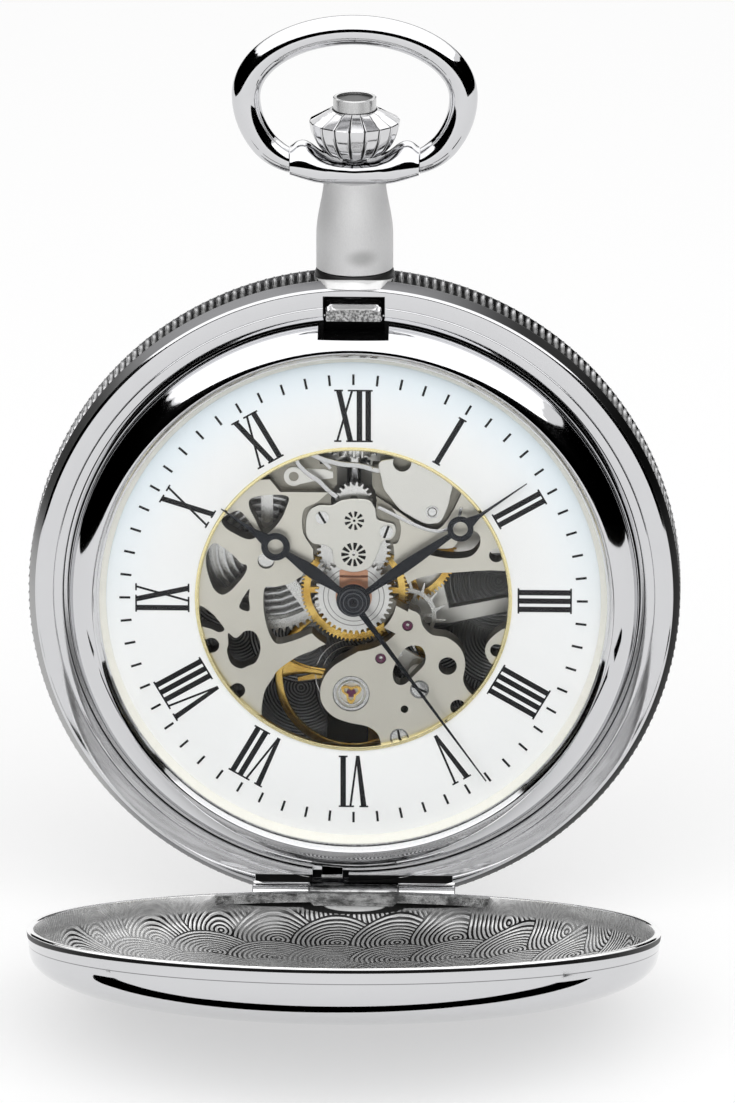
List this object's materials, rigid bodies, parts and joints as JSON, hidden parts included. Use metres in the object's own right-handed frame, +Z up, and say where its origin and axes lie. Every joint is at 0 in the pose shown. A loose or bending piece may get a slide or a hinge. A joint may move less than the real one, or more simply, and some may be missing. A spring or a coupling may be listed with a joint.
{
  "type": "double hunter pocket watch",
  "caption": "Double hunter pocket watch with open front cover, open-centre dial over a hand-wound skeleton movement, crown with push button, and oval bow.",
  "frame": {"origin": "underside of the bow's top, where the hanging watch bears on its hook or chain", "axes": "+Z up from the six to the twelve and the bow, -Y out of the dial towards the viewer, +X to the three"},
  "size_m": [0.05, 0.0584, 0.0724],
  "materials": {
    "polished_steel": "mirror polish",
    "dark_steel": "plain turned",
    "crystal": "clear",
    "gasket": "matt",
    "enamel": "gloss white",
    "cream_ring": "satin",
    "gold": "gilt",
    "hand_black": "gloss",
    "copper": "satin",
    "nickel": "fine grained",
    "wheel_steel": "polished",
    "spring_steel": "blued grey",
    "screw_steel": "polished",
    "ruby": "clear red"
  },
  "bodies": {
    "frame": {"case_middle": "polished_steel", "front_bezel": "polished_steel", "front_crystal": "crystal", "front_hinge_pin": "dark_steel", "rear_bezel": "polished_steel", "rear_crystal": "crystal", "rear_hinge_pin": "dark_steel", "pendant_neck": "polished_steel", "lift_spring": "dark_steel", "movement_ring": "nickel", "case_screws": "screw_steel", "dial": "enamel", "dial_ring": "gold", "flange_ring": "cream_ring", "minute_bridge": "nickel", "setting_cover": "nickel", "yoke_spring": "spring_steel", "main_plate": "nickel", "barrel_bridge": "nickel", "train_bridge": "nickel", "pallet_bridge": "nickel", "balance_spring": "spring_steel", "balance_cock": "nickel", "jewels": "ruby", "movement_screws": "screw_steel"},
    "front_lid": {"front_cover": "polished_steel"},
    "rear_lid": {"rear_cover": "polished_steel"},
    "bow_ring": {"bow": "polished_steel"},
    "pull_ring": {"crown_gasket": "gasket"},
    "crown_set": {"crown": "polished_steel", "winding_stem": "dark_steel", "button_spring": "dark_steel"},
    "button": {"push_button": "polished_steel"},
    "sleeve": {"push_sleeve": "dark_steel"},
    "catch": {"front_catch": "polished_steel"},
    "minute": {"minute_hand": "hand_black", "cannon_pinion": "wheel_steel", "center_wheel": "gold"},
    "hour": {"hour_hand": "hand_black", "hour_wheel": "wheel_steel", "dial_washer": "copper"},
    "minute_work": {"minute_wheel": "gold"},
    "setting": {"setting_wheel": "wheel_steel"},
    "barrel_drum": {"barrel": "nickel", "mainspring": "spring_steel"},
    "third": {"third_wheel": "gold"},
    "seconds": {"second_hand": "hand_black", "fourth_wheel": "gold"},
    "escape": {"escape_wheel": "wheel_steel"},
    "pallet": {"pallet_fork": "wheel_steel"},
    "balance": {"balance_wheel": "gold"},
    "winder": {"winding_pinion": "wheel_steel"},
    "clutch": {"sliding_pinion": "wheel_steel"},
    "crown_gear": {"crown_wheel": "wheel_steel"},
    "ratchet": {"ratchet_wheel": "wheel_steel", "barrel_arbor": "wheel_steel"},
    "pawl": {"click": "wheel_steel"},
    "lever": {"setting_lever": "wheel_steel"},
    "yoke_arm": {"yoke": "wheel_steel"},
    "index": {"regulator": "gold"}
  },
  "joints": [
    {"name": "front_lid_swing", "type": "hinge", "parent": "frame", "child": "front_lid", "pos_m": [0, -0.0028, -0.067], "axis": [-1, 0, 0], "range_deg": [0, 78.5]},
    {"name": "rear_lid_swing", "type": "hinge", "parent": "frame", "child": "rear_lid", "pos_m": [0, 0.0028, -0.067], "axis": [-1, 0, 0], "range_deg": [0, 80]},
    {"name": "bow_swing", "type": "hinge", "parent": "frame", "child": "bow_ring", "pos_m": [0, 0, -0.00935], "axis": [1, 0, 0], "range_deg": [-90, 90]},
    {"name": "crown_pull", "type": "slide", "parent": "frame", "child": "pull_ring", "axis": [0, 0, 1], "range_m": [0, 0.001]},
    {"name": "crown_turn", "type": "hinge", "parent": "pull_ring", "child": "crown_set", "pos_m": [0, 0, -0.043], "axis": [0, 0, 1], "continuous": true},
    {"name": "button_push", "type": "slide", "parent": "crown_set", "child": "button", "axis": [0, 0, -1], "range_m": [0, 0.0008], "stiffness_N_per_m": 200, "deforming": ["button_spring"]},
    {"name": "sleeve_push", "type": "slide", "parent": "frame", "child": "sleeve", "axis": [0, 0, -1], "range_m": [0, 0.0008]},
    {"name": "catch_push", "type": "slide", "parent": "frame", "child": "catch", "axis": [0, 0, -1], "range_m": [0, 0.0008]},
    {"name": "minute_turn", "type": "hinge", "parent": "frame", "child": "minute", "pos_m": [0, 0, -0.043], "axis": [0, 1, 0], "continuous": true},
    {"name": "hour_turn", "type": "hinge", "parent": "frame", "child": "hour", "pos_m": [0, 0, -0.043], "axis": [0, 1, 0], "continuous": true},
    {"name": "minute_work_turn", "type": "hinge", "parent": "frame", "child": "minute_work", "pos_m": [0, 0, -0.0394], "axis": [0, 1, 0], "continuous": true},
    {"name": "setting_turn", "type": "hinge", "parent": "frame", "child": "setting", "pos_m": [0, 0, -0.0354], "axis": [0, 1, 0], "continuous": true},
    {"name": "barrel_turn", "type": "hinge", "parent": "frame", "child": "barrel_drum", "pos_m": [-0.0067, 0, -0.0401], "axis": [0, 1, 0], "continuous": true},
    {"name": "third_turn", "type": "hinge", "parent": "frame", "child": "third", "pos_m": [0.0037, 0, -0.0404], "axis": [0, 1, 0], "continuous": true},
    {"name": "seconds_turn", "type": "hinge", "parent": "frame", "child": "seconds", "pos_m": [0, 0, -0.043], "axis": [0, 1, 0], "continuous": true},
    {"name": "escape_turn", "type": "hinge", "parent": "frame", "child": "escape", "pos_m": [0.00413, 0, -0.0452], "axis": [0, 1, 0], "continuous": true},
    {"name": "pallet_rock", "type": "hinge", "parent": "frame", "child": "pallet", "pos_m": [0.00207, 0, -0.04785], "axis": [0, 1, 0], "range_deg": [-6, 6]},
    {"name": "balance_swing", "type": "hinge", "parent": "frame", "child": "balance", "pos_m": [-0.0002, 0, -0.0507], "axis": [0, 1, 0], "range_deg": [-270, 270], "stiffness_Nm_per_rad": 0.0000004},
    {"name": "winder_turn", "type": "hinge", "parent": "frame", "child": "winder", "pos_m": [0, 0, -0.043], "axis": [0, 0, 1], "continuous": true},
    {"name": "clutch_slide", "type": "slide", "parent": "winder", "child": "clutch", "axis": [0, 0, -1], "range_m": [0, 0.0005]},
    {"name": "crown_gear_turn", "type": "hinge", "parent": "frame", "child": "crown_gear", "pos_m": [0, 0, -0.0354], "axis": [0, 1, 0], "continuous": true},
    {"name": "ratchet_turn", "type": "hinge", "parent": "frame", "child": "ratchet", "pos_m": [-0.0067, 0, -0.0401], "axis": [0, 1, 0], "continuous": true},
    {"name": "pawl_rock", "type": "hinge", "parent": "frame", "child": "pawl", "pos_m": [-0.0136, 0, -0.0368], "axis": [0, 1, 0], "range_deg": [0, 5], "stiffness_Nm_per_rad": 0.000002},
    {"name": "lever_rock", "type": "hinge", "parent": "frame", "child": "lever", "pos_m": [0.0056, 0, -0.0306], "axis": [0, 1, 0], "range_deg": [0, 6]},
    {"name": "yoke_rock", "type": "hinge", "parent": "frame", "child": "yoke_arm", "pos_m": [-0.0046, 0, -0.0336], "axis": [0, 1, 0], "range_deg": [0, 6]},
    {"name": "index_turn", "type": "hinge", "parent": "frame", "child": "index", "pos_m": [-0.0002, 0, -0.0507], "axis": [0, 1, 0], "range_deg": [-12, 12]}
  ],
  "couplings": [
    {"joint": "sleeve_push", "follows": "button_push", "ratio": 1},
    {"joint": "catch_push", "follows": "button_push", "ratio": 1},
    {"joint": "hour_turn", "follows": "minute_turn", "ratio": 0.083333},
    {"joint": "minute_work_turn", "follows": "minute_turn", "ratio": -0.33333},
    {"joint": "setting_turn", "follows": "minute_turn", "ratio": 0.66667},
    {"joint": "barrel_turn", "follows": "minute_turn", "ratio": -0.13889},
    {"joint": "third_turn", "follows": "minute_turn", "ratio": -8},
    {"joint": "seconds_turn", "follows": "minute_turn", "ratio": 60},
    {"joint": "escape_turn", "follows": "minute_turn", "ratio": -600},
    {"joint": "winder_turn", "follows": "crown_turn", "ratio": 1},
    {"joint": "crown_gear_turn", "follows": "crown_turn", "ratio": -0.58333},
    {"joint": "ratchet_turn", "follows": "crown_turn", "ratio": 0.42},
    {"joint": "clutch_slide", "follows": "crown_pull", "ratio": 0.5},
    {"joint": "lever_rock", "follows": "crown_pull", "rad_per_m": 90},
    {"joint": "yoke_rock", "follows": "crown_pull", "rad_per_m": 90}
  ]
}
